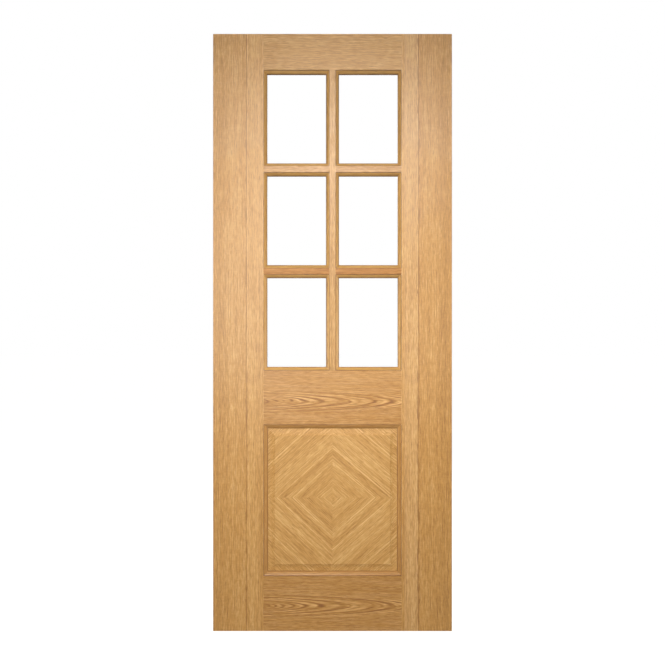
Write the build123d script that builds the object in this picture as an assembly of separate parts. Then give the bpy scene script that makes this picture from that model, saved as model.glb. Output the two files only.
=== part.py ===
# Glazed interior door leaf: six panes of glass above a raised and fielded panel, for hanging in a frame.
# The leaf stands upright. X runs from the hinge edge to the lock edge, Y from the front face to the back
# face, and Z up. The origin is on the hinge edge, at the foot of the leaf and halfway through its
# thickness. All sizes are millimetres.

import os

from build123d import *

# The whole leaf
leaf_width = 813.0
leaf_height = 2032.0
leaf_thickness = 35.0
arris_chamfer = 1.0  # eased long corners of the hinge and lock edges

# Each stile is glued up from four strips. These are their widths, from the outside of the leaf inwards.
outer_lipping_width = 8.0
outer_stave_width = 107.0
inner_stave_width = 46.5
inner_lipping_width = 10.0

# Heights up the leaf. What is left between the middle rail and the top rail is the glazed opening.
bottom_rail_height = 187.0
panel_opening_height = 516.0
middle_rail_height = 183.5
top_rail_height = 122.0

# Glazing: the panes by column and by row, and the bars between them
column_names = ["hinge_side", "lock_side"]
row_names = ["bottom", "middle", "top"]
upright_bar_names = ["upright"]
level_bar_names = ["lower", "upper"]
bar_width = 20.5
glass_thickness = 6.0
glass_edge_gap = 2.0  # between the glass and the wood around it
bead_width = 12.0

# Both kinds of moulding step down from the face of the leaf to a narrow quirk, slope down in a flattened
# ovolo and end in a small square edge.
moulding_setback = 3.0
moulding_quirk_width = 1.0
moulding_bulge = 1.2  # how far the ovolo stands out from the straight line between its ends
moulding_edge_height = 1.0
mitre_gap = 0.2  # hairline between two mitred ends

# The panel and the moulding around it
panel_moulding_width = 14.5
panel_moulding_depth = 13.0  # from the face of the leaf to the margin of the panel
panel_edge_gap = 1.5  # between the edge of the panel and the wood around it
panel_cove_width = 24.0  # the hollow slope between the margin and the field
panel_raise = 6.0  # from the margin of the panel to its field
veneer_thickness = 1.0
veneer_match_rise = 7.5  # how far above the middle of the panel its four quarters of veneer meet

# What follows from the sizes above
stile_width = outer_lipping_width + outer_stave_width + inner_stave_width + inner_lipping_width
clear_width = leaf_width - 2 * stile_width
panel_opening_foot = bottom_rail_height
middle_rail_foot = panel_opening_foot + panel_opening_height
glazing_foot = middle_rail_foot + middle_rail_height
glazing_head = leaf_height - top_rail_height
glazing_height = glazing_head - glazing_foot
pane_width = (clear_width - len(upright_bar_names) * bar_width) / len(column_names)
pane_height = (glazing_height - len(level_bar_names) * bar_width) / len(row_names)
pane_step_across = pane_width + bar_width
pane_step_up = pane_height + bar_width
bead_depth = (leaf_thickness - glass_thickness) / 2
panel_margin_thickness = leaf_thickness - 2 * panel_moulding_depth
face_y = -leaf_thickness / 2  # the front face
middle_x = leaf_width / 2

swap_sides = Plane.YZ.offset(middle_x)  # mirrors the hinge side to the lock side
panel_middle = Pos(middle_x, 0, panel_opening_foot + panel_opening_height / 2)


def board(x_start, x_end, z_start, z_end, thickness=leaf_thickness):
    """A plain board between two heights, centred on the middle of the leaf's thickness."""
    corner = (Align.MIN, Align.CENTER, Align.MIN)
    return Pos(x_start, 0, z_start) * Box(x_end - x_start, thickness, z_end - z_start, align=corner)


def stile_strips():
    """The four strips of the hinge stile, each as long as the leaf, from the outside inwards."""
    widths = {
        "edge_lipping": outer_lipping_width,
        "outer_stave": outer_stave_width,
        "inner_stave": inner_stave_width,
        "inner_lipping": inner_lipping_width,
    }
    strips = {}
    start = 0.0
    for name, width in widths.items():
        strips[name] = board(start, start + width, 0, leaf_height)
        start += width
    outside_corners = strips["edge_lipping"].edges().filter_by(Axis.Z).group_by(Axis.X)[0]
    strips["edge_lipping"] = chamfer(outside_corners, arris_chamfer)
    return strips


def stiles():
    """Both stiles. The lock stile is the hinge stile mirrored."""
    pieces = {}
    for name, strip in stile_strips().items():
        pieces[f"hinge_stile_{name}"] = strip
        pieces[f"lock_stile_{name}"] = mirror(strip, about=swap_sides)
    return pieces


def rails():
    """Top, middle and bottom rails, fitted between the stiles."""
    left, right = stile_width, stile_width + clear_width
    return {
        "bottom_rail": board(left, right, 0, panel_opening_foot),
        "middle_rail": board(left, right, middle_rail_foot, glazing_foot),
        "top_rail": board(left, right, glazing_head, leaf_height),
    }


def glazing_bars():
    """Glazing bars, halved together where they cross. The upright bar is whole at the front."""
    front_half = Pos(0, face_y, 0) * board(0, leaf_width, 0, leaf_height)
    back_half = Pos(0, -face_y, 0) * board(0, leaf_width, 0, leaf_height)
    uprights, levels = {}, {}
    for place, name in enumerate(upright_bar_names):
        start = stile_width + pane_width + place * pane_step_across
        uprights[name] = board(start, start + bar_width, glazing_foot, glazing_head)
    for place, name in enumerate(level_bar_names):
        foot = glazing_foot + pane_height + place * pane_step_up
        levels[name] = board(stile_width, stile_width + clear_width, foot, foot + bar_width)
    bars = {}
    for name, upright in uprights.items():
        for level in levels.values():
            upright = upright - (level & back_half)
        bars[f"{name}_glazing_bar"] = upright
    for name, level in levels.items():
        for upright in uprights.values():
            level = level - (upright & front_half)
        bars[f"{name}_glazing_bar"] = level
    return bars


def ovolo_stick(run, reach, width, depth):
    """A mitred moulding along X for the foot of an opening on the front face.

    run is the opening's size along the stick and reach its size across. The opening is centred on the
    Y axis. depth is measured from the face of the leaf to the glass or the panel.
    """
    foot = -reach / 2
    crest = face_y + moulding_setback
    seat = face_y + depth
    ovolo_head = Vector(crest, foot + moulding_quirk_width)
    ovolo_foot = Vector(seat - moulding_edge_height, foot + width)
    slope = ovolo_foot - ovolo_head
    outwards = Vector(-slope.Y, slope.X).normalized()
    ovolo_middle = (ovolo_head + ovolo_foot) / 2 + outwards * moulding_bulge
    with BuildPart() as stick:
        with BuildSketch(Plane.YZ.offset(-run / 2)):
            with BuildLine():
                Line((crest, foot), ovolo_head)
                ThreePointArc(ovolo_head, ovolo_middle, ovolo_foot)
                Polyline(ovolo_foot, (seat, foot + width), (seat, foot), (crest, foot))
            make_face()
        extrude(amount=run)
        end_trim = mitre_gap / 2 * 2**0.5
        with BuildSketch(Plane.XZ):
            with BuildLine():
                Polyline(
                    (-run / 2 + end_trim, foot),
                    (run / 2 - end_trim, foot),
                    (run / 2 - end_trim - width, foot + width),
                    (-run / 2 + end_trim + width, foot + width),
                    close=True,
                )
            make_face()
        extrude(amount=leaf_thickness, both=True, mode=Mode.INTERSECT)
    return stick.part


def mitred_frame(opening_width, opening_height, width, depth):
    """Four mitred sticks round an opening on the front face. The opening is centred on the Y axis."""
    level = ovolo_stick(opening_width, opening_height, width, depth)
    upright = ovolo_stick(opening_height, opening_width, width, depth)
    sticks = [level, Rot(0, 180, 0) * level, Rot(0, 90, 0) * upright, Rot(0, 270, 0) * upright]
    return Compound(children=sticks)


def panes():
    """Name and middle of each pane opening, row by row from the bottom."""
    found = {}
    for row, row_name in enumerate(row_names):
        for column, column_name in enumerate(column_names):
            x = stile_width + pane_width / 2 + column * pane_step_across
            z = glazing_foot + pane_height / 2 + row * pane_step_up
            found[f"{row_name}_{column_name}"] = Pos(x, 0, z)
    return found


def glass():
    """One sheet of glass in each pane opening, clear of the wood all round."""
    sheet = Box(pane_width - 2 * glass_edge_gap, glass_thickness, pane_height - 2 * glass_edge_gap)
    return {f"{name}_glass": place * sheet for name, place in panes().items()}


def glazing_beads():
    """Mitred beads that hold each sheet of glass, four at the front and four at the back of every pane."""
    front = mitred_frame(pane_width, pane_height, bead_width, bead_depth)
    beads = {}
    for name, place in panes().items():
        beads[f"{name}_front_beads"] = place * front
        beads[f"{name}_back_beads"] = place * Rot(0, 0, 180) * front
    return beads


def coved_block(run, opening_reach, margin_thickness):
    """A block of the panel that runs along X, with a cove down to the margin along its foot and its head.

    opening_reach is how high the panel's opening is. Each cove leaves the margin flat, where the moulding
    ends, and steepens up to the field.
    """
    edge = opening_reach / 2 - panel_edge_gap
    cove_foot = opening_reach / 2 - panel_moulding_width
    cove_head = cove_foot - panel_cove_width
    margin = margin_thickness / 2
    field = margin + panel_raise
    with BuildPart() as block:
        with BuildSketch(Plane.YZ.offset(-run / 2)):
            with BuildLine():
                Polyline((0, edge), (margin, edge), (margin, cove_foot))
                TangentArc((margin, cove_foot), (field, cove_head), tangent=(0, -1))
                Line((field, cove_head), (field, 0))
                mirror(about=Plane.XZ)
                mirror(about=Plane.YZ)
            make_face()
        extrude(amount=run)
    return block.part


def raised_panel(margin_thickness):
    """A panel that is raised and fielded on both faces, centred on the origin, with mitred coves."""
    width = clear_width - 2 * panel_edge_gap
    height = panel_opening_height - 2 * panel_edge_gap
    head_and_foot = coved_block(width, panel_opening_height, margin_thickness)
    sides = Rot(0, 90, 0) * coved_block(height, clear_width, margin_thickness)
    return head_and_foot & sides


def panel():
    """The core of the panel, and a veneer leaf over each quarter of both its faces."""
    core = raised_panel(panel_margin_thickness - 2 * veneer_thickness)
    veneer = raised_panel(panel_margin_thickness) - core
    pieces = {"panel_core": panel_middle * core}
    whole = (clear_width, leaf_thickness, panel_opening_height)
    for level, z_side in (("upper", Align.MIN), ("lower", Align.MAX)):
        for side, x_side in (("hinge_side", Align.MAX), ("lock_side", Align.MIN)):
            quarter = Pos(0, 0, veneer_match_rise) * Box(*whole, align=(x_side, Align.CENTER, z_side))
            pieces[f"panel_{level}_{side}_veneer"] = panel_middle * (veneer & quarter)
    return pieces


def panel_mouldings():
    """Mitred mouldings that hold the panel, four at the front and four at the back."""
    width, depth = panel_moulding_width, panel_moulding_depth
    front = mitred_frame(clear_width, panel_opening_height, width, depth)
    return {
        "panel_front_moulding": panel_middle * front,
        "panel_back_moulding": panel_middle * Rot(0, 0, 180) * front,
    }


def main():
    os.makedirs("parts", exist_ok=True)
    makers = [stiles, rails, glazing_bars, glass, glazing_beads, panel, panel_mouldings]
    for maker in makers:
        for name, shape in maker().items():
            export_step(shape, f"parts/{name}.step")


main()
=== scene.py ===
# Oak door leaf: six clear panes over a raised panel with diamond-matched veneer.
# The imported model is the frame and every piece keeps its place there, in metres.
# The grain is laid out in millimetres of real timber.

import math

import bpy
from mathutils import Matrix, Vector


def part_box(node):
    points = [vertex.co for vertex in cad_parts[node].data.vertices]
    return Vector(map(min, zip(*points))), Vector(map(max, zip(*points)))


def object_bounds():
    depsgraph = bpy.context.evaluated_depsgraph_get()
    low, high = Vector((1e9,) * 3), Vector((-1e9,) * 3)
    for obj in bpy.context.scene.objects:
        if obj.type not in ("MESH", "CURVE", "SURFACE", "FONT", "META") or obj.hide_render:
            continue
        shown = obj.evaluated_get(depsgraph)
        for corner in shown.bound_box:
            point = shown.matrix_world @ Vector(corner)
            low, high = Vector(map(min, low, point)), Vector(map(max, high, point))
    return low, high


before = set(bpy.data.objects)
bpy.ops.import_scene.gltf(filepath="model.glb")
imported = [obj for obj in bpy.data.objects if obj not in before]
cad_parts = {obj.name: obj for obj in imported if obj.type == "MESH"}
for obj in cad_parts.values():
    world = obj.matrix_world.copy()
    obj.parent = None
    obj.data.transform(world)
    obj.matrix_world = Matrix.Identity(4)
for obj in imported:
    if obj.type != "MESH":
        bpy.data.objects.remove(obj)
cadLow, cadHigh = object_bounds()
print("frame loaded:", len(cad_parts), "nodes")


def linearColour(code):
    # sRGB hex to the linear values that shaders take
    parts = [int(code[i:i + 2], 16) / 255 for i in (1, 3, 5)]
    return [c / 12.92 if c <= 0.04045 else ((c + 0.055) / 1.055) ** 2.4 for c in parts] + [1.0]


def addNode(tree, kind, inputs=(), **settings):
    # Inputs by order or by name: another node or its output is linked, anything else is set. A Mix node has
    # its factor at 0, its numbers at 2 and 3 and its colours at 6 and 7.
    new = tree.nodes.new("ShaderNode" + kind)
    for name, value in settings.items():
        setattr(new, name, value)
    for name, value in (inputs.items() if isinstance(inputs, dict) else enumerate(inputs)):
        if isinstance(value, bpy.types.Node):
            value = value.outputs[0]
        if isinstance(value, bpy.types.NodeSocket):
            tree.links.new(value, new.inputs[name])
        else:
            new.inputs[name].default_value = value
    return new


def fillRamp(ramp, stops):
    # stops go from position to a hex colour or a grey level
    points = ramp.color_ramp.elements
    while len(points) > 1:
        points.remove(points[-1])
    for number, (position, colour) in enumerate(sorted(stops.items())):
        point = points[0] if number == 0 else points.new(position)
        point.position = position
        point.color = linearColour(colour) if isinstance(colour, str) else [colour] * 3 + [1.0]
    return ramp


def newMaterial(name):
    material = bpy.data.materials.new(name)
    material.use_nodes = True
    material.node_tree.nodes.clear()
    return material, material.node_tree


def dress(nodeNames, material):
    for nodeName in nodeNames:
        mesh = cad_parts[nodeName].data
        mesh.materials.clear()
        mesh.materials.append(material)


def spanOf(nodeName, axis):
    # where a piece starts and ends, in millimetres
    low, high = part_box(nodeName)
    return low[axis] * 1000, high[axis] * 1000


# Places that the grain is laid out from, read off the model. The six panes repeat by one step each way. The
# panel's opening has no neighbour, so its step is only made larger than the opening.
middleX = (cadLow[0] + cadHigh[0]) / 2 * 1000
staveJoint = middleX - spanOf("hinge_stile_outer_stave", 0)[1]  # out from the middle of the leaf
openingHalf = middleX - spanOf("hinge_stile_inner_lipping", 0)[1]
opening = {"x": spanOf("panel_front_moulding", 0), "z": spanOf("panel_front_moulding", 2)}
pane = {"x": spanOf("bottom_hinge_side_front_beads", 0), "z": spanOf("bottom_hinge_side_front_beads", 2)}
nextPane = {"x": spanOf("middle_lock_side_front_beads", 0), "z": spanOf("middle_lock_side_front_beads", 2)}
for place in (opening, pane):
    for axis in ("x", "z"):
        low, high = place[axis]
        place[axis + "Middle"], place[axis + "Half"] = (low + high) / 2, (high - low) / 2
        place[axis + "Step"] = nextPane[axis][0] - low if place is pane else 4 * (high - low)


# What every piece of this oak shares, in millimetres. The widths of rings, grain and streaks are the real
# ones. Pores are really 0.3 mm wide, and fibres far finer. They are drawn at 1.5 and 2.6 mm, or they
# wouldn't show.
oak = {
    "dark": "#93632b", "mid": "#bc8a46", "light": "#dab074", "pore": "#75491d",
    "streakLength": 1600.0, "streakWidth": 48.0, "streaks": 0.3,
    "grainLength": 140.0, "grainWidth": 3.6, "grain": 0.42,
    "fibreLength": 25.0, "fibreWidth": 2.6, "fibres": 0.55,
    "ringSpacing": 3.1, "rings": 0.1, "waver": 3.0, "waverLength": 260.0, "waverWidth": 30.0,
    "unevenOver": 24.0, "unevenBy": 9.0,  # ring widths change over so many millimetres, by so many rings
    # tone through one ring, from one dark line of pores to the next, and its mean
    "ringTones": {0.0: 0.3, 0.1: 0.0, 0.35: 0.62, 0.8: 0.8, 1.0: 0.3}, "ringMean": 0.53,
    "ringStrength": (0.25, 1.5),  # of the weakest ring, and how much more the strongest has
    "ringPatches": {"length": 190.0, "width": 16.0, "seed": 61.0, "noise": (0.36, 0.64),
                    "amount": (0.1, 1.7)},
    "poreLength": 26.0, "poreWidth": 1.5, "pores": 0.5,
    # pores show where their noise is above such a level: in the dark line, and in the lightest wood
    "poreLevels": (0.56, 0.66), "poreEdge": 0.06,
    "rayLength": 5.0, "rayWidth": 14.0, "rays": 0.0,
    "heart": (900.0, 60.0, 0.0),  # centre of the tree: across and behind the board, and its drift per mm
    "lockTone": 0.0,  # how much lighter the lock side is drawn
    "lockWhite": 0.0,  # how much whiter the lock side is drawn
    "roughness": 0.36, "fibreRoughness": 0.1, "poreRoughness": 0.12,
    "relief": 0.12, "fibreRelief": 0.5, "poreRelief": -1.0, "bump": 0.5, "index": 1.5, "seed": 1.0,
}


def timberAxes(tree, grain, place=None):
    # a point of the surface as it lies in its timber: along the grain, across it, into the thickness
    where = addNode(tree, "TexCoord").outputs["Object"]
    inMillimetres = addNode(tree, "VectorMath", {0: where, 3: 1000.0}, operation="SCALE")
    x, y, z = addNode(tree, "SeparateXYZ", [inMillimetres]).outputs
    if grain == "level":
        return x, z, y
    if grain == "upright":
        return z, x, y
    if grain == "mirrored":  # both stiles are cut from one pattern, turned over
        fromMiddle = addNode(tree, "Math", [x, middleX], operation="SUBTRACT")
        return z, addNode(tree, "Math", [fromMiddle], operation="ABSOLUTE").outputs[0], y
    if grain == "mitred":  # each stick runs along its own side of the opening
        edge = {}
        for axis, value in (("x", x), ("z", z)):
            away = addNode(tree, "Math", [value, place[axis + "Middle"]], operation="SUBTRACT")
            half = place[axis + "Step"] / 2
            away = addNode(tree, "Math", [away, half, -half], operation="WRAP")
            away = addNode(tree, "Math", [away], operation="ABSOLUTE")
            edge[axis] = addNode(tree, "Math", [place[axis + "Half"], away], operation="SUBTRACT")
        isUpright = addNode(tree, "Math", [edge["x"], edge["z"]], operation="LESS_THAN")
        along = addNode(tree, "Mix", {0: isUpright, 2: x, 3: z})
        across = addNode(tree, "Mix", {0: isUpright, 2: edge["z"], 3: edge["x"]})
        # the four sticks come from different places in the timber
        deep = addNode(tree, "Mix", {0: isUpright, 2: z, 3: x})
        deep = addNode(tree, "Math", [deep, y], operation="ADD")
        return along.outputs[0], across.outputs[0], deep.outputs[0]
    # diamond: the quarters of the panel, with the grain sloping away from where they meet
    sideways = addNode(tree, "Math", [x, place["middle"][0]], operation="SUBTRACT")
    upwards = addNode(tree, "Math", [z, place["middle"][1]], operation="SUBTRACT")
    isLock = addNode(tree, "Math", [sideways, 0.0], operation="GREATER_THAN")
    isLower = addNode(tree, "Math", [upwards, 0.0], operation="LESS_THAN")
    squeezed = {}
    for name, value, isOther, stretch in (("x", sideways, isLock, place["lockStretch"]),
                                          ("z", upwards, isLower, place["lowerStretch"])):
        away = addNode(tree, "Math", [value], operation="ABSOLUTE")
        scale = addNode(tree, "Math", [isOther, stretch - 1, 1.0], operation="MULTIPLY_ADD")
        squeezed[name] = addNode(tree, "Math", [away, scale], operation="MULTIPLY")
    slope = math.radians(place["slope"])
    across = addNode(tree, "Math", [squeezed["z"], math.cos(slope)], operation="MULTIPLY")
    across = addNode(tree, "Math", [squeezed["x"], math.sin(slope), across], operation="MULTIPLY_ADD")
    along = addNode(tree, "Math", [squeezed["z"], -math.sin(slope)], operation="MULTIPLY")
    along = addNode(tree, "Math", [squeezed["x"], math.cos(slope), along], operation="MULTIPLY_ADD")
    # each quarter is another slice of the flitch
    slices = place["sliceStep"]
    deep = addNode(tree, "Math", [isLock, slices, y], operation="MULTIPLY_ADD")
    deep = addNode(tree, "Math", [isLower, 2 * slices, deep], operation="MULTIPLY_ADD")
    return along.outputs[0], across.outputs[0], deep.outputs[0]


def stretchedNoise(tree, timber, length, width, seed, detail=3.0, roughness=0.55):
    # noise drawn out along the grain, about 0.5 on average
    spread = addNode(tree, "VectorMath", [timber, (1 / length, 1 / width, 1 / width), (seed, seed * 0.7, 0)],
                     operation="MULTIPLY_ADD")
    return addNode(tree, "TexNoise", {"Vector": spread, "Scale": 1.0, "Detail": detail,
                                      "Roughness": roughness}).outputs[0]


def patches(tree, timber, look, **settings):
    # noise of the timber between two levels, spread over the amounts from weakest to strongest
    noise = stretchedNoise(tree, timber, look["length"], look["width"], look["seed"], 2.0,
                           look.get("roughness", 0.55))
    return addNode(tree, "MapRange", [noise, *look["noise"], *look["amount"]], **settings)


def onLockSide(tree):
    # 1 on the lock side of the leaf and 0 on the hinge side
    where = addNode(tree, "SeparateXYZ", [addNode(tree, "TexCoord").outputs["Object"]])
    return addNode(tree, "Math", [where, middleX / 1000], operation="GREATER_THAN")


def lineMask(tree, distance, centre, halfWidth):
    # 1 on a line at that distance, fading to 0 at halfWidth from it
    away = addNode(tree, "Math", [distance, centre], operation="SUBTRACT")
    away = addNode(tree, "Math", [away], operation="ABSOLUTE")
    return addNode(tree, "MapRange", [away, 0.0, halfWidth, 1.0, 0.0], interpolation_type="SMOOTHSTEP")


def growthRings(tree, timber, axes, look):
    # rings about the tree's centre. Each has a dark line of pores on one side, and its own strength
    along, across, depth = axes
    heartAcross, heartDepth, drift = look["heart"]
    sideways = addNode(tree, "Math", [across, heartAcross], operation="SUBTRACT")
    inwards = addNode(tree, "Math", [along, drift, heartDepth], operation="MULTIPLY_ADD")
    inwards = addNode(tree, "Math", [inwards, depth], operation="ADD")
    fromHeart = addNode(tree, "CombineXYZ", [sideways, inwards])
    radius = addNode(tree, "VectorMath", [fromHeart], operation="LENGTH").outputs["Value"]
    waver = stretchedNoise(tree, timber, look["waverLength"], look["waverWidth"], look["seed"] + 5, 2.0)
    radius = addNode(tree, "Math", [waver, look["waver"] * 2, radius], operation="MULTIPLY_ADD")
    radius = addNode(tree, "Math", [radius, look["waver"]], operation="SUBTRACT")
    uneven = addNode(tree, "TexNoise", {"W": radius, "Scale": 1 / look["unevenOver"], "Detail": 1.0},
                     noise_dimensions="1D")
    count = addNode(tree, "Math", [radius, 1 / look["ringSpacing"]], operation="MULTIPLY")
    count = addNode(tree, "Math", [uneven, look["unevenBy"], count], operation="MULTIPLY_ADD")
    part = addNode(tree, "Math", [count], operation="FRACT")
    year = addNode(tree, "Math", [count], operation="FLOOR")
    strength = addNode(tree, "TexWhiteNoise", {"W": year}, noise_dimensions="1D")
    profile = fillRamp(addNode(tree, "ValToRGB", [part]), look["ringTones"])
    centred = addNode(tree, "Math", [profile, look["ringMean"]], operation="SUBTRACT")
    ownPatches = {**look["ringPatches"], "seed": look["seed"] + look["ringPatches"]["seed"]}
    patchy = patches(tree, timber, ownPatches)
    weakest, more = look["ringStrength"]
    strong = addNode(tree, "Math", [strength.outputs["Value"], more, weakest], operation="MULTIPLY_ADD")
    strong = addNode(tree, "Math", [strong, patchy], operation="MULTIPLY")
    return addNode(tree, "Math", [centred, strong], operation="MULTIPLY"), profile, radius


def oakMaterial(name, grain, changes, place=None, figure=None):
    # satin lacquer over open-pored oak: a soft sheen, with the pores dull and a little sunken
    look = {**oak, **changes}
    seed = look["seed"]
    material, tree = newMaterial(name)
    axes = timberAxes(tree, grain, place)
    timber = addNode(tree, "CombineXYZ", axes)
    rings, ringProfile, radius = growthRings(tree, timber, axes, look)
    # each noise has its own seed, or they would line up
    streaks = stretchedNoise(tree, timber, look["streakLength"], look["streakWidth"], seed, 4.0)
    stripes = stretchedNoise(tree, timber, look["grainLength"], look["grainWidth"], seed + 17, 2.0)
    fibres = stretchedNoise(tree, timber, look["fibreLength"], look["fibreWidth"], seed + 11, 2.0)
    rays = stretchedNoise(tree, timber, look["rayLength"], look["rayWidth"], seed + 23, 1.0)

    # short dark pores, mostly in the dark line of each ring
    poreNoise = stretchedNoise(tree, timber, look["poreLength"], look["poreWidth"], seed + 37, 1.0)
    lightest = max(look["ringTones"].values())
    level = addNode(tree, "MapRange", [ringProfile, 0.0, lightest, *look["poreLevels"]])
    over = addNode(tree, "Math", [poreNoise, level], operation="SUBTRACT")
    pores = addNode(tree, "MapRange", [over, 0.0, look["poreEdge"], 0.0, 1.0],
                    interpolation_type="SMOOTHSTEP")

    # a tone of 0.5 is the middle colour
    tone = 0.5
    for value, amount in ((streaks, look["streaks"]), (stripes, look["grain"]), (fibres, look["fibres"]),
                          (rays, look["rays"])):
        centred = addNode(tree, "Math", [value, 0.5], operation="SUBTRACT")
        tone = addNode(tree, "Math", [centred, amount * 2, tone], operation="MULTIPLY_ADD")
    tone = addNode(tree, "Math", [rings, look["rings"] * 2, tone], operation="MULTIPLY_ADD")
    tone = addNode(tree, "Math", [onLockSide(tree), look["lockTone"], tone], operation="MULTIPLY_ADD")
    if figure:
        tone = addNode(tree, "Math", [figure(tree, axes, timber, radius), tone], operation="ADD")
    colour = fillRamp(addNode(tree, "ValToRGB", [tone]),
                      {0.0: look["dark"], 0.5: look["mid"], 1.0: look["light"]})
    whitened = addNode(tree, "Math", [onLockSide(tree), look["lockWhite"]], operation="MULTIPLY")
    colour = addNode(tree, "Mix", {0: whitened, 6: colour, 7: (1, 1, 1, 1)}, data_type="RGBA").outputs[2]
    poreAmount = addNode(tree, "Math", [pores, look["pores"]], operation="MULTIPLY")
    poreColour = linearColour(look["pore"])
    colour = addNode(tree, "Mix", {0: poreAmount, 6: colour, 7: poreColour}, data_type="RGBA").outputs[2]

    rough = look["roughness"] - look["fibreRoughness"] / 2
    rough = addNode(tree, "Math", [fibres, look["fibreRoughness"], rough], operation="MULTIPLY_ADD")
    rough = addNode(tree, "Math", [pores, look["poreRoughness"], rough], operation="MULTIPLY_ADD")
    height = addNode(tree, "Math", [fibres, look["fibreRelief"]], operation="MULTIPLY")
    height = addNode(tree, "Math", [pores, look["poreRelief"], height], operation="MULTIPLY_ADD")
    bump = addNode(tree, "Bump", {"Strength": look["bump"], "Distance": look["relief"] / 1000,
                                  "Height": height})
    shader = addNode(tree, "BsdfPrincipled", {"Base Color": colour, "Roughness": rough, "Normal": bump,
                                              "IOR": look["index"]})
    addNode(tree, "OutputMaterial", [shader])
    return material


# Stiles: two staves glued edge to edge, with a thin lipping at each side. The joint between the staves
# shows as a dark line with a pale one inside it, and with dark flecks of wild grain that stray from it and
# are heavier on the lock side.
stile = {
    "outer": {"streaks": 0.24, "rays": 0.12, "heart": (900.0, 240.0, 0.002), "lockTone": -0.05,
              "seed": 3.0},
    "inner": {"streaks": 0.2, "rays": 0.08, "heart": (-500.0, 90.0, -0.002), "rings": 0.08,
              "mid": "#c08f4c", "lockTone": 0.02, "lockWhite": 0.02, "seed": 14.0},
    "lipping": {"streaks": 0.3, "heart": (700.0, 40.0, 0.0), "rings": 0.08, "seed": 25.0},
    "paleLine": 0.5, "paleLineWidth": 3.2, "paleLineFade": 0.7,  # the share of its width over which it fades
    "paleHeights": (600.0, 1300.0), "paleAmounts": (0.3, 1.0),  # it fades from the upper height to the lower
    "palePatches": {"length": 160.0, "width": 400.0, "seed": 71.0, "noise": (0.36, 0.6),
                    "amount": (0.1, 1.2)},
    "darkLine": -0.34, "darkLineWidth": 3.6, "darkLineOut": 0.8,  # it lies this far outside the joint
    "flecks": -1.5, "hingeFlecks": 0.35, "fleckWidth": 5.6,  # hingeFlecks is the hinge side's share of them
    "fleckPatches": {"length": 58.0, "width": 5.6, "seed": 83.0, "roughness": 0.6, "noise": (0.5, 0.62),
                     "amount": (0.0, 1.0)},
    # how far the flecks stray from the joint, one way and the other
    "fleckBend": {"length": 70.0, "width": 400.0, "seed": 95.0, "noise": (0.3, 0.7), "amount": (-3.0, 3.0)},
    "edgeLine": 0.2, "edgeLineWidth": 3.0, "edgeLineOut": 1.0,
}


def staveJointFigure(tree, axes, timber, radius):
    along, across, depth = axes
    paleWidth = stile["paleLineWidth"]
    pale = lineMask(tree, across, staveJoint - paleWidth / 2, paleWidth * stile["paleLineFade"])
    pale = addNode(tree, "Math", [pale, patches(tree, timber, stile["palePatches"])], operation="MULTIPLY")
    high = addNode(tree, "MapRange", [along, *stile["paleHeights"], *stile["paleAmounts"]])
    pale = addNode(tree, "Math", [pale, high], operation="MULTIPLY")
    strayed = addNode(tree, "Math", [across, patches(tree, timber, stile["fleckBend"])], operation="ADD")
    darkPlace = staveJoint + stile["darkLineOut"]
    near = lineMask(tree, strayed, darkPlace, stile["fleckWidth"])
    wild = patches(tree, timber, stile["fleckPatches"], interpolation_type="SMOOTHSTEP")
    heavy = addNode(tree, "MapRange", [onLockSide(tree), 0.0, 1.0, stile["flecks"] * stile["hingeFlecks"],
                                       stile["flecks"]])
    flecks = addNode(tree, "Math", [near, wild], operation="MULTIPLY")
    flecks = addNode(tree, "Math", [flecks, heavy], operation="MULTIPLY")
    line = lineMask(tree, across, darkPlace, stile["darkLineWidth"])
    flecks = addNode(tree, "Math", [line, stile["darkLine"], flecks], operation="MULTIPLY_ADD")
    return addNode(tree, "Math", [pale, stile["paleLine"], flecks], operation="MULTIPLY_ADD")


def lippingEdgeFigure(tree, axes, timber, radius):
    # the glue line against the rails is paler than the timber
    pale = lineMask(tree, axes[1], openingHalf + stile["edgeLineOut"], stile["edgeLineWidth"])
    return addNode(tree, "Math", [pale, stile["edgeLine"]], operation="MULTIPLY")


sides = ("hinge", "lock")
dress([f"{side}_stile_outer_stave" for side in sides],
      oakMaterial("oak stile outer stave, lacquered", "mirrored", stile["outer"], figure=staveJointFigure))
dress([f"{side}_stile_inner_stave" for side in sides],
      oakMaterial("oak stile inner stave, lacquered", "mirrored", stile["inner"], figure=staveJointFigure))
dress([f"{side}_stile_inner_lipping" for side in sides],
      oakMaterial("oak inner lipping, lacquered", "mirrored", stile["lipping"], figure=lippingEdgeFigure))
dress([f"{side}_stile_edge_lipping" for side in sides],
      oakMaterial("oak edge lipping, lacquered", "mirrored", stile["lipping"]))
print("stiles done")


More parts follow.
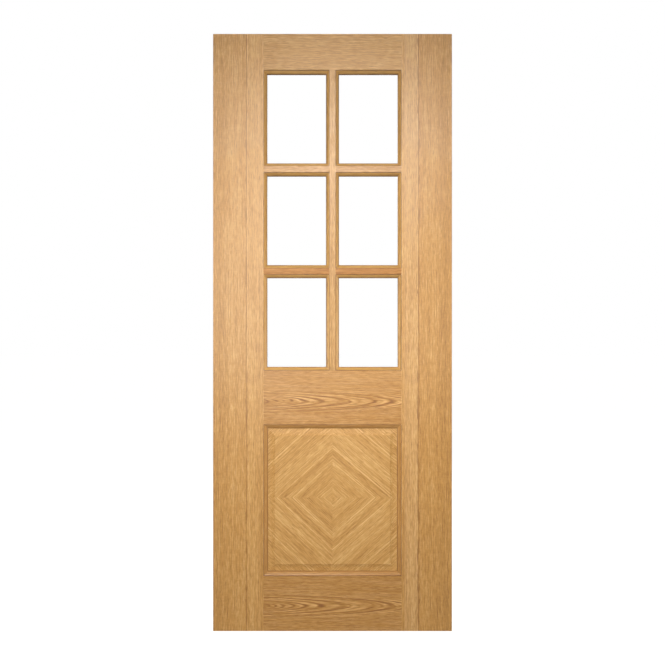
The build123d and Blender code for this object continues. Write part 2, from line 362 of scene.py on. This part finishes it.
# Rails: the top one is straight-grained with short dashes. The others are flat-sawn and cut one after the
# other from one log, so both show the same cathedral, with its arrowheads towards the lock side.
rails = {
    "straight": {"mid": "#b88845", "streaks": 0.14, "rings": 0.08, "heart": (2900.0, 80.0, 0.0),
                 "grainLength": 75.0, "grain": 0.48, "seed": 31.0},
    "flatSawn": {"streaks": 0.2, "grain": 0.3, "fibres": 0.45, "rings": 0.42, "ringSpacing": 1.9,
                 "waver": 0.6, "waverLength": 60.0, "waverWidth": 10.0, "seed": 42.0,
                 "dark": "#855223", "light": "#d6a868"},
    "mids": {"middle": "#b17d3a", "bottom": "#ad7b39"},
    "axisHeights": {"middle": 782.0, "bottom": 85.5},
    "heartDepth": 29.7, "drift": 0.044,  # how far the tree's centre lies behind the face, and its lean
    # where each dark arrowhead ends, from the hinge side of the rail, and how dark it is
    "arrowheads": {117: 0.3, 153: 0.5, 176: 0.3, 207: 0.3, 293: 0.85, 405: 0.5, 449: 0.8, 470: 0.4},
    # half the width of such a line, and its share of that darkness, at the arrowhead and along the arms,
    # which begin between these distances from its axis
    "lineWidths": {0.36: 0.6, 1.0: 1.0}, "armsStart": (3.0, 14.0), "arrowheadAmount": 0.66,
    # the radii that the figure covers: from this far within the face's, over so many millimetres
    "figureWithin": 1.0, "figureSpan": 26.0,
    "patches": {"length": 120.0, "width": 12.0, "seed": 91.0, "noise": (0.35, 0.65), "amount": (0.6, 1.4)},
}
railStart = spanOf("middle_rail", 0)[0]
railFace = spanOf("middle_rail", 1)[0]


def cathedralFigure(tree, axes, timber, radius):
    # the strongest rings, each a dark line with a pale one outside it, that widen along the arms
    first, span = rails["heartDepth"] - rails["figureWithin"], rails["figureSpan"]
    level = addNode(tree, "MapRange", [radius, first, first + span, 0.0, 1.0])
    lines = []
    for width, share in rails["lineWidths"].items():
        half = width / span
        stops = {0.0: 0.3, 0.12: 0.5}  # the wood nearest the tree's centre is darker
        for tip, darkness in rails["arrowheads"].items():
            middle = (rails["heartDepth"] + rails["drift"] * tip - first) / span
            stops.update({middle - half: 0.52, middle: 0.5 - share * darkness / 2,
                          middle + half: 0.5 + share * darkness / 4})
        stops[1.0] = 0.5
        lines.append(fillRamp(addNode(tree, "ValToRGB", [level]), stops))
    # how far a point is from the axis of its own rail's figure: wrapped, so that one formula serves both
    off = addNode(tree, "Math", [axes[1], rails["axisHeights"]["bottom"]], operation="SUBTRACT")
    apart = rails["axisHeights"]["middle"] - rails["axisHeights"]["bottom"]
    off = addNode(tree, "Math", [off, apart / 2, -apart / 2], operation="WRAP")
    off = addNode(tree, "Math", [off], operation="ABSOLUTE")
    arms = addNode(tree, "MapRange", [off, *rails["armsStart"], 0.0, 1.0])
    lines = addNode(tree, "Mix", {0: arms, 2: lines[0], 3: lines[1]})
    centred = addNode(tree, "Math", [lines, 0.5], operation="SUBTRACT")
    centred = addNode(tree, "Math", [centred, patches(tree, timber, rails["patches"])], operation="MULTIPLY")
    return addNode(tree, "Math", [centred, rails["arrowheadAmount"] * 2], operation="MULTIPLY")


dress(["top_rail"], oakMaterial("oak top rail, lacquered", "level", rails["straight"]))
for rail, axisHeight in rails["axisHeights"].items():
    behind = rails["heartDepth"] - railFace - rails["drift"] * railStart
    look = {**rails["flatSawn"], "mid": rails["mids"][rail], "heart": (axisHeight, behind, rails["drift"])}
    dress([rail + "_rail"],
          oakMaterial(f"oak {rail} rail, flat-sawn and lacquered", "level", look, figure=cathedralFigure))
print("rails done")


# Glazing bars: narrow straight-grained sticks
bars = {
    "upright": {"mid": "#b98a49", "streaks": 0.15, "streakWidth": 12.0, "heart": (800.0, 30.0, 0.0),
                "seed": 53.0},
    "upper": {"streaks": 0.1, "streakWidth": 12.0, "heart": (2600.0, 30.0, 0.0), "seed": 64.0,
              "mid": "#b07f40"},
    "lower": {"streaks": 0.1, "streakWidth": 12.0, "heart": (2600.0, 30.0, 0.0), "seed": 69.0,
              "mid": "#aa7130", "dark": "#80501c", "light": "#c99656", "roughness": 0.5},
}
for bar, grain in (("upright", "upright"), ("upper", "level"), ("lower", "level")):
    dress([bar + "_glazing_bar"], oakMaterial(f"oak {bar} glazing bar, lacquered", grain, bars[bar]))
print("glazing bars done")


# Beads and panel mouldings: machined ovolo sticks, mitred at the corners. A line of painted shade darkens
# the quirk along one side, and another the edge against the glass or the panel along the other.
sticks = {
    # the deep dark colour darkens the grain a little, and mostly deepens the lines of painted shade
    "timber": {"streaks": 0.2, "streakWidth": 9.0, "heart": (4000.0, 30.0, 0.0), "dark": "#6b4219",
               "grain": 0.25, "fibres": 0.25},
    "bead": {"mid": "#c8974f", "seed": 75.0},
    "moulding": {"mid": "#b27f3e", "seed": 86.0},
    # painted shade: how dark the line in the quirk and the one at the inner edge are, and their width
    "quirkShade": -0.6, "innerEdgeShade": -0.34, "lineWidth": 3.2,
    "widths": {"bead": 12.0, "moulding": 14.5},  # the sticks' own widths, between those two lines
}


def stickMaterial(name, kind, place):
    def figure(tree, axes, timber, radius):
        # painted shade: a dark line in the quirk and another at the inner edge, against the glass or the
        # panel
        quirk = lineMask(tree, axes[1], 0.0, sticks["lineWidth"])
        inner = lineMask(tree, axes[1], sticks["widths"][kind], sticks["lineWidth"])
        dark = addNode(tree, "Math", [quirk, sticks["quirkShade"]], operation="MULTIPLY")
        return addNode(tree, "Math", [inner, sticks["innerEdgeShade"], dark], operation="MULTIPLY_ADD")
    return oakMaterial(name, "mitred", {**sticks["timber"], **sticks[kind]}, place=place, figure=figure)


dress([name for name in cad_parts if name.endswith("_beads")],
      stickMaterial("oak glazing bead, machined and lacquered", "bead", pane))
dress(["panel_front_moulding", "panel_back_moulding"],
      stickMaterial("oak panel moulding, machined and lacquered", "moulding", opening))
print("beads and mouldings done")


# Veneer: four slices of one flitch, turned over and over so that their stripes meet in diamonds
veneer = {
    "slope": 42.0,  # degrees of the grain from level
    "middle": (middleX, spanOf("panel_lower_hinge_side_veneer", 2)[1]),  # where the four quarters meet
    "lockStretch": 0.93, "lowerStretch": 0.965,  # the slices aren't quite alike
    "sliceStep": 33.0,  # each slice is laid out this much deeper in the flitch
    "reach": 500.0,  # how far out from the middle the stripes below can go
    # broad light and dark stripes of the flitch: distance from the middle, and tone from -1 to 1
    "stripes": {0: 0.0, 30: 0.35, 60: 0.3, 80: -0.3, 108: -0.5, 130: 0.0, 150: -0.2, 166: -0.8, 178: -0.8,
                186: 0.2, 210: 0.4, 250: 0.7, 278: 0.3, 290: -0.4, 320: -0.3, 345: 0.3, 362: 0.1, 380: -0.6,
                400: 0.2, 455: 0.4, 480: 0.3},
    "stripeAmount": 0.1,
    # fine pale lines between them, and how strong each is
    "lines": {29: 0.45, 38: 0.2, 126: 0.3, 134: 1.0, 143: 0.3, 189: 0.8, 198: 0.3, 330: 0.3, 342: 0.7,
              401: 0.55},
    "lineWidth": 4.0, "lineAmount": 0.55,
    "linePatches": {"length": 130.0, "width": 300.0, "seed": 111.0, "noise": (0.3, 0.55),
                    "amount": (0.5, 1.0)},
    "quarters": {0: 0.5, 1: 0.53, 2: 0.475, 3: 0.52},  # tone of each slice
    "look": {"mid": "#be8e4b", "roughness": 0.5, "streaks": 0.1, "streakLength": 900.0, "streakWidth": 22.0,
             "fibres": 0.5, "grain": 0.45, "grainLength": 180.0, "rings": 0.05, "ringSpacing": 4.2,
             "heart": (900.0, 30.0, 0.0), "waver": 1.0, "pores": 0.4, "seed": 97.0},
}


def diamondFigure(tree, axes, timber, radius):
    along, across, depth = axes
    perMillimetre = 1 / (veneer["reach"] * math.sin(math.radians(veneer["slope"])))
    level = addNode(tree, "Math", [across, perMillimetre], operation="MULTIPLY")
    stops = {distance / veneer["reach"]: 0.5 + tone / 2 for distance, tone in veneer["stripes"].items()}
    stripes = fillRamp(addNode(tree, "ValToRGB", [level]), stops)
    centred = addNode(tree, "Math", [stripes, 0.5], operation="SUBTRACT")
    lineStops = {}
    for distance, strength in veneer["lines"].items():
        for away, grey in ((-1, 0.0), (0, strength), (1, 0.0)):
            lineStops[(distance + away * veneer["lineWidth"]) / veneer["reach"]] = grey
    lines = fillRamp(addNode(tree, "ValToRGB", [level]), lineStops)
    broken = patches(tree, timber, veneer["linePatches"])
    lines = addNode(tree, "Math", [lines, broken], operation="MULTIPLY")
    last = max(veneer["quarters"])
    order = addNode(tree, "Math", [depth, 1 / veneer["sliceStep"], 0.5], operation="MULTIPLY_ADD")
    order = addNode(tree, "Math", [order], operation="FLOOR")
    order = addNode(tree, "Math", [order, last], operation="DIVIDE")
    quarter = fillRamp(addNode(tree, "ValToRGB", [order]),
                       {number / last: tone for number, tone in veneer["quarters"].items()})
    quarter = addNode(tree, "Math", [quarter, 0.5], operation="SUBTRACT")
    quarter = addNode(tree, "Math", [lines, veneer["lineAmount"], quarter], operation="MULTIPLY_ADD")
    return addNode(tree, "Math", [centred, veneer["stripeAmount"] * 2, quarter], operation="MULTIPLY_ADD")


dress([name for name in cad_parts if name.endswith("_veneer")],
      oakMaterial("oak veneer, diamond matched and lacquered", "diamond", veneer["look"], place=veneer,
                  figure=diamondFigure))


# Core of the panel: fibreboard, a fine tan speckle. The veneer and the mouldings hide it from every side.
coreLook = {"dark": "#8d6b45", "light": "#b8946a", "fleckSize": 1.5, "roughness": 0.85, "bump": 0.4,
            "relief": 0.2}


def coreMaterial(name):
    material, tree = newMaterial(name)
    where = addNode(tree, "TexCoord").outputs["Object"]
    speckle = addNode(tree, "TexNoise", {"Vector": where, "Scale": 1000 / coreLook["fleckSize"],
                                         "Detail": 3.0})
    colour = fillRamp(addNode(tree, "ValToRGB", [speckle]), {0.3: coreLook["dark"], 0.7: coreLook["light"]})
    bump = addNode(tree, "Bump", {"Strength": coreLook["bump"], "Distance": coreLook["relief"] / 1000,
                                  "Height": speckle})
    shader = addNode(tree, "BsdfPrincipled", {"Base Color": colour, "Roughness": coreLook["roughness"],
                                              "Normal": bump})
    addNode(tree, "OutputMaterial", [shader])
    return material


dress(["panel_core"], coreMaterial("fibreboard panel core, sanded"))
print("panel done")


# Glass: float glass, clear and flat, so that it shows only by what it reflects
glassLook = {"tint": "#ffffff", "ior": 1.52}


def glassMaterial(name):
    material, tree = newMaterial(name)
    glass = addNode(tree, "BsdfPrincipled", {"Base Color": linearColour(glassLook["tint"]), "Roughness": 0.0,
                                             "IOR": glassLook["ior"], "Transmission Weight": 1.0})
    clear = addNode(tree, "BsdfTransparent", {"Color": linearColour(glassLook["tint"])})
    rayKind = addNode(tree, "LightPath").outputs
    letsLightBy = addNode(tree, "Math", [rayKind["Is Shadow Ray"], rayKind["Is Diffuse Ray"]],
                          operation="MAXIMUM")
    addNode(tree, "OutputMaterial", [addNode(tree, "MixShader", [letsLightBy, glass, clear])])
    return material


dress([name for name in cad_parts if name.endswith("_glass")], glassMaterial("clear float glass"))
print("glass done")


# Floor and background: white for whatever looks at them, and a weak even light for the rest
studio = {"white": 1.0, "fillStrength": 0.34, "floorSize": 60.0, "floorPaint": ("#888886", "#8c8c8a"),
          "mottle": 3.0}  # blotches of the paint per metre


def whiteForEyes(tree):
    # camera, mirror and glass rays see the background as white
    rayKind = addNode(tree, "LightPath").outputs
    eyes = addNode(tree, "Math", [rayKind["Is Camera Ray"], rayKind["Is Glossy Ray"]], operation="MAXIMUM")
    return addNode(tree, "Math", [eyes, rayKind["Is Transmission Ray"]], operation="MAXIMUM")


world = bpy.data.worlds.new("white studio")
bpy.context.scene.world = world
world.use_nodes = True
world.node_tree.nodes.clear()
white = linearColour("#ffffff")
seen = addNode(world.node_tree, "Background", {"Color": white, "Strength": studio["white"]})
felt = addNode(world.node_tree, "Background", {"Color": white, "Strength": studio["fillStrength"]})
addNode(world.node_tree, "OutputWorld",
        [addNode(world.node_tree, "MixShader", [whiteForEyes(world.node_tree), felt, seen])])

# the floor's glow makes up what its paint lacks of white in even light. The lamps' light comes on top of
# that, and the leaf's shadow doesn't show
floorMaterial, tree = newMaterial("white studio floor, matt paint")
mottle = addNode(tree, "TexNoise", {"Vector": addNode(tree, "TexCoord").outputs["Object"],
                                    "Scale": studio["mottle"]})
paint = fillRamp(addNode(tree, "ValToRGB", [mottle]), dict(zip((0.3, 0.7), studio["floorPaint"])))
matt = addNode(tree, "BsdfDiffuse", {"Color": paint})
glowStrength = studio["white"] - studio["fillStrength"] * linearColour(studio["floorPaint"][0])[0]
glow = addNode(tree, "Emission", {"Color": white, "Strength": glowStrength})
unlit = addNode(tree, "Emission", {"Color": white, "Strength": 0.0})
glow = addNode(tree, "MixShader", [whiteForEyes(tree), unlit, glow])
addNode(tree, "OutputMaterial", [addNode(tree, "AddShader", [matt, glow])])

half = studio["floorSize"] / 2
corners = [(-half, -half, 0), (half, -half, 0), (half, half, 0), (-half, half, 0)]
floorMesh = bpy.data.meshes.new("floor")
floorMesh.from_pydata(corners, [], [(0, 1, 2, 3)])
floorMesh.materials.append(floorMaterial)
floor = bpy.data.objects.new("floor", floorMesh)
bpy.context.scene.collection.objects.link(floor)
print("floor and background done")


# Lamps: a high softbox whose grid narrows it to the leaf and a tall one at the hinge side, two cards that
# only the lacquer reflects, one high up and one at the lock side, a strip at each side that rakes the
# mouldings, and one softbox for the back. Each looks at the middle of the leaf, at the height of its aim.
# Spreads are in degrees.
lamps = {
    "high softbox": {"place": (0.36, -3.0, 2.3), "aim": 0.78, "size": (1.2, 0.8), "spread": 58,
                     "watts": 9.3, "sheen": False},
    "high sheen card": {"place": (0.5, -3.0, 2.25), "aim": 1.66, "size": (1.2, 0.8), "spread": 31,
                        "watts": 2.1, "diffuse": False},
    "lock side sheen card": {"place": (1.15, -3.0, 1.0), "aim": 0.96, "size": (0.5, 0.7), "spread": 31,
                             "watts": 0.45, "diffuse": False},
    "hinge side softbox": {"place": (-0.2, -3.0, 1.2), "aim": 0.9, "size": (0.5, 1.2), "watts": 24.5},
    "hinge side strip": {"place": (-2.2, -0.46, 0.95), "aim": 0.95, "size": (0.25, 0.6), "spread": 34,
                         "watts": 0.55},
    "lock side strip": {"place": (3.0, -0.46, 0.95), "aim": 0.95, "size": (0.25, 0.6), "spread": 34,
                        "watts": 0.55},
    "back softbox": {"place": (0.5, 2.6, 1.9), "aim": 0.9, "size": (1.1, 1.1), "watts": 58.0},
}
# no lamp reaches the glass, where its mirror image would eat into the edges of the wood
flagged = bpy.data.collections.new("panes flagged off the lamps")
for name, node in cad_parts.items():
    if name.endswith("_glass"):
        flagged.objects.link(node)
for entry in flagged.collection_objects:
    entry.light_linking.link_state = "EXCLUDE"
for name, lamp in lamps.items():
    light = bpy.data.lights.new(name, "AREA")
    light.shape, light.energy = "RECTANGLE", lamp["watts"]
    light.size, light.size_y = lamp["size"]
    light.spread = math.radians(lamp.get("spread", 180))
    holder = bpy.data.objects.new(name, light)
    holder.location = lamp["place"]
    aim = Vector((middleX / 1000, 0.0, lamp["aim"]))
    holder.rotation_euler = (aim - holder.location).to_track_quat("-Z", "Y").to_euler()
    holder.visible_camera = False
    holder.visible_transmission = False
    holder.light_linking.receiver_collection = flagged
    holder.visible_glossy = lamp.get("sheen", True)
    holder.visible_diffuse = lamp.get("diffuse", True)
    bpy.context.scene.collection.objects.link(holder)
print("lamps done")


# Camera: square on to the leaf at half its height. The picture spans pictureWidth at the leaf's face.
shot = {"distance": 2.6, "pictureWidth": 2.263, "sensor": 36.0}
camera = bpy.data.objects.new("camera", bpy.data.cameras.new("camera"))
camera.data.sensor_width = shot["sensor"]
camera.data.lens = shot["sensor"] * shot["distance"] / shot["pictureWidth"]
camera.location = (middleX / 1000, cadLow[1] - shot["distance"], (cadLow[2] + cadHigh[2]) / 2)
camera.rotation_euler = (math.radians(90), 0, 0)
bpy.context.scene.collection.objects.link(camera)
bpy.context.scene.camera = camera
bpy.context.scene.view_settings.view_transform = "Standard"
print("camera done")
